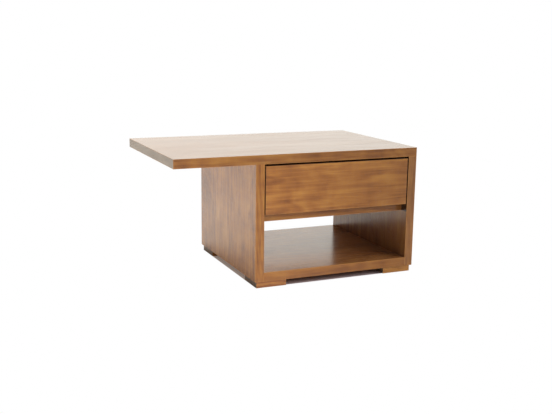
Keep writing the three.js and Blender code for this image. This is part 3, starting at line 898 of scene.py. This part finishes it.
def make_member(node, material, web_low, lip, screws, windows):
    """A slide member with holes for its screws and windows, given as (share of length, length, radius)."""
    low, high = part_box(node)
    web = low.x if web_low else high.x
    middle = (low.z + high.z) / 2
    plugs = bmesh.new()
    for screw in screws:
        first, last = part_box(screw)
        add_plug(plugs, Vector((web, (first.y + last.y) / 2, middle)), 2 * SCREW_HOLE, SCREW_HOLE)
    for share, length, radius in windows:
        y = low.y + share * (high.y - low.y)
        add_plug(plugs, Vector((web, y, middle)), length, radius)
    mesh = punched(node, make_channel(node, web_low, SLIDE_SHEET, lip), plugs)
    finish_steel(node, mesh, (material,))


def make_cage(node, materials, web_low):
    """A ball cage: a thin channel with a row of balls in each flange and windows in its web.

    The first material is the channel's and the second is the balls'.
    """
    low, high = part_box(node)
    web = low.x if web_low else high.x
    centre = (low + high) / 2
    pitches = [(i - (BALL_COUNT - 1) / 2) * BALL_PITCH for i in range(BALL_COUNT)]
    row = (high.z - low.z) / 2 - SOLID_BALL_REACH * BALL_RADIUS
    flange_edge = row + CAGE_SHEET / 2
    ball_x = (high.x - BALL_RADIUS) if web_low else (low.x + BALL_RADIUS)
    flange_end = (ball_x + BALL_TO_EDGE) if web_low else (ball_x - BALL_TO_EDGE)
    made = bmesh.new()
    corners = channel_outline(web, flange_end, flange_edge, CAGE_SHEET, 0.0)
    rings = []
    for y in (low.y, high.y):
        rings.append([made.verts.new((p.x, y, centre.z + p.y)) for p in rounded_outline(corners)])
    join_rings(made, rings)
    plugs = bmesh.new()
    for first, second in zip(pitches, pitches[1:]):
        y = centre.y + (first + second) / 2
        add_plug(plugs, Vector((web, y, centre.z)), 0.6 * BALL_PITCH, 0.5 * row)
    mesh = punched(node, made, plugs)
    made = bmesh.new()
    made.from_mesh(mesh)
    for y in pitches:
        for z in (-row, row):
            place = Matrix.Translation((ball_x, centre.y + y, centre.z + z))
            ball = bmesh.ops.create_uvsphere(
                made, u_segments=18, v_segments=12, radius=BALL_RADIUS, matrix=place
            )
            for face in {face for vert in ball["verts"] for face in vert.link_faces}:
                face.material_index = 1
    made.to_mesh(mesh)
    made.free()
    finish_steel(node, mesh, materials)


def finish_steel(node, mesh, materials):
    for material in materials:
        mesh.materials.append(material)
    mesh.shade_smooth()
    mesh.set_sharp_from_angle(angle=SHARP_ANGLE)
    stand_for(node, mesh)


def make_slides():
    zinc = steel("zinc_member", (0.60, 0.59, 0.55), 0.30, "Y")
    cage = steel("zinc_cage", (0.50, 0.50, 0.48), 0.38, "Y")
    ball = steel("steel_ball", (0.72, 0.72, 0.71), 0.12, "Y")
    cabinet_windows = ((0.2, 18 * MM, 2.3 * MM), (0.42, 40 * MM, 6 * MM), (0.66, 18 * MM, 2.3 * MM))
    middle_windows = ((0.12, 30 * MM, 5 * MM), (0.88, 30 * MM, 5 * MM))
    drawer_windows = ((0.22, 16 * MM, 2.3 * MM), (0.5, 16 * MM, 2.3 * MM), (0.78, 16 * MM, 2.3 * MM))
    for side in ("left", "right"):
        at_left = side == "left"
        screws = {
            kind: [f"slide_{kind}_screw_{side}_{end}" for end in ("front", "back")]
            for kind in ("cabinet", "drawer")
        }
        for kind, web_low, lip, holes, windows in (
            ("cabinet", at_left, SLIDE_LIP, screws["cabinet"], cabinet_windows),
            ("middle", at_left, 0.0, (), middle_windows),
            ("drawer", not at_left, 0.0, screws["drawer"], drawer_windows),
        ):
            make_member(f"slide_{kind}_member_{side}", zinc, web_low, lip, holes, windows)
        for row in ("outer", "inner"):
            make_cage(f"slide_{row}_cage_{side}", (cage, ball), at_left)


# ---------------------------------------------------------------- floor and light

WHITE = (1.0, 1.0, 1.0, 1.0)
SEEN_WHITE = 1.0  # how bright the floor and the background are to look at
SKY_RADIANCE = 0.10  # from every side
BACKDROP_LOW = 1.50  # added behind the cabinet, near the horizon
BACKDROP_HIGH = 2.2  # and higher up
CEILING_RADIANCE = 0.3  # added overhead
BACKDROP_AZIMUTH = math.radians(26)  # from +Y towards +X
BACKDROP_TINT = (1.0, 0.985, 0.92, 1.0)


def make_world():
    """A studio with a bright backdrop behind the cabinet, which a camera sees as plain white."""
    world = bpy.data.worlds.new("studio")
    world.use_nodes = True
    bpy.context.scene.world = world
    graph = Graph(world.node_tree)
    x, y, z = graph.parts(graph.node("TexCoord").outputs["Generated"])
    azimuth = graph.math("SUBTRACT", graph.math("ARCTAN2", x, y), BACKDROP_AZIMUTH)
    across = graph.math("ABSOLUTE", graph.math("WRAP", azimuth, math.pi, -math.pi))
    sideways = graph.spread(across, math.radians(22), math.radians(48), 1.0, 0.0)
    rise = graph.math("ARCSINE", z)
    low = graph.spread(rise, math.radians(18), math.radians(32), BACKDROP_LOW, BACKDROP_HIGH)
    below_top = graph.spread(rise, math.radians(40), math.radians(55), 1.0, 0.0)
    shown = graph.math("MULTIPLY", sideways, below_top)
    high = graph.spread(rise, math.radians(40), math.radians(70), 0.0, CEILING_RADIANCE)
    strength = graph.total(graph.math("MULTIPLY", shown, low), high, SKY_RADIANCE)
    lit = graph.node("Background", color=BACKDROP_TINT, strength=strength)
    white = graph.node("Background", color=WHITE, strength=SEEN_WHITE)
    graph.end("OutputWorld", graph.seen_or_not(white, lit))


FLOOR_RADIUS = 14.0
FLOOR_DROP = 0.2 * MM
FLOOR_COLOUR = (0.75, 0.75, 0.75, 1.0)
# painted shadow: the floor under the cabinet, seen darker
SHADED_COLOUR = (0.46, 0.38, 0.40, 1.0)
# painted light: the floor under the left side, seen lighter
SHADED_SIDE_COLOUR = (1.0, 0.94, 0.92, 1.0)
STRAY_COLOUR = (0.12, 0.10, 0.085, 1.0)  # a glow painted under the left side, for stray light
CLEAR_FROM_FRONT = (-6.5 * MM, -3.5 * MM)  # outside the feet, where the floor turns plain white
CLEAR_FROM_SIDES = (-1.5 * MM, 1.0 * MM)
GLOW_TINT = (1.0, 0.985, 0.90, 1.0)
FRONT_GLOW = 0.60  # on the left, in front; RIGHT_GLOW on the right
RIGHT_GLOW = 0.10
BACK_GLOW = 1.0
FAR_GLOW = 0.80


def footprint_gaps(graph, x, y):
    """How far outside the rectangle of the feet a floor point is: at the front, and on any side."""
    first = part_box("foot_front_left")[0]
    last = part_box("foot_rear_right")[1]
    front = graph.math("SUBTRACT", first.y, y)
    outside = front
    for end, start in ((first.x, x), (x, last.x), (y, last.y)):
        outside = graph.math("MAXIMUM", outside, graph.math("SUBTRACT", end, start))
    return front, outside


def make_floor():
    """A pale floor that glows like a lit table, and is seen as plain white except under the cabinet."""
    mesh = bpy.data.meshes.new("floor")
    made = bmesh.new()
    bmesh.ops.create_circle(made, cap_ends=True, segments=96, radius=FLOOR_RADIUS)
    made.to_mesh(mesh)
    made.free()
    floor = bpy.data.objects.new("floor", mesh)
    bpy.context.scene.collection.objects.link(floor)
    floor.location.z = -FLOOR_DROP
    material, graph = new_material("floor")
    x, y, _ = graph.parts(graph.object_point())
    in_front, outside = footprint_gaps(graph, x, y)
    front = graph.spread(x, 0.0, 0.4, FRONT_GLOW, RIGHT_GLOW)
    behind = graph.spread(y, 0.7, 1.6, BACK_GLOW, FAR_GLOW)
    radiance = graph.spread(y, 0.05, 0.40, front, behind)
    # painted light: the floor glows to light the cabinet from below; under the cabinet and just beside it
    # the glow fades out, as painted shadow
    near_front = graph.spread(in_front, 0.0, 0.015)
    open_floor = graph.math("MAXIMUM", near_front, graph.spread(outside, -0.03, 0.12))
    glow = graph.math("MULTIPLY", radiance, open_floor)
    plain = graph.node("BsdfDiffuse", color=FLOOR_COLOUR)
    glowing = graph.node("Emission", color=GLOW_TINT, strength=glow)
    both = graph.together(plain, glowing)
    from_left = graph.spread(x, -0.13, -0.05)
    shaded = graph.node("BsdfDiffuse", color=graph.mix(from_left, SHADED_SIDE_COLOUR, SHADED_COLOUR))
    stray = graph.node("Emission", color=STRAY_COLOUR, strength=graph.math("SUBTRACT", 1.0, from_left))
    lifted = graph.together(shaded, stray)
    white = graph.node("Emission", color=WHITE, strength=SEEN_WHITE)
    clear = graph.math(
        "MAXIMUM",
        graph.spread(in_front, *CLEAR_FROM_FRONT),
        graph.spread(outside, *CLEAR_FROM_SIDES),
    )
    graph.end("OutputMaterial", graph.seen_or_not(graph.blend(clear, lifted, white), both))
    mesh.materials.append(material)


def add_light(kind, name, place, target, **settings):
    """A light that shades the cabinet and isn't mirrored in its lacquer."""
    data = bpy.data.lights.new(name, kind)
    for setting, value in settings.items():
        setattr(data, setting, value)
    light = bpy.data.objects.new(name, data)
    bpy.context.scene.collection.objects.link(light)
    light.location = place
    aim = Vector(target) - Vector(place)
    light.rotation_euler = aim.to_track_quat("-Z", "Y").to_euler()
    light.visible_glossy = False


SOFT_SUN = math.radians(35)


def make_lights():
    add_light("SUN", "key", (2.1, -2.1, 1.7), (0, 0, 0), energy=1.95, angle=SOFT_SUN)
    add_light("AREA", "side", (-2.2, 0.0, 0.9), (0.1, -0.2, 0.25), energy=6, size=0.8)
    add_light("SUN", "front", (-0.3, -3.0, 1.7), (0, 0, 0), energy=0.35, angle=SOFT_SUN)


# ---------------------------------------------------------------- the scene

make_camera()
make_carcass()
make_drawer_boards()
make_dowels()
make_screws()
make_slides()
make_floor()
make_world()
make_lights()
bpy.context.scene.view_settings.view_transform = "Standard"
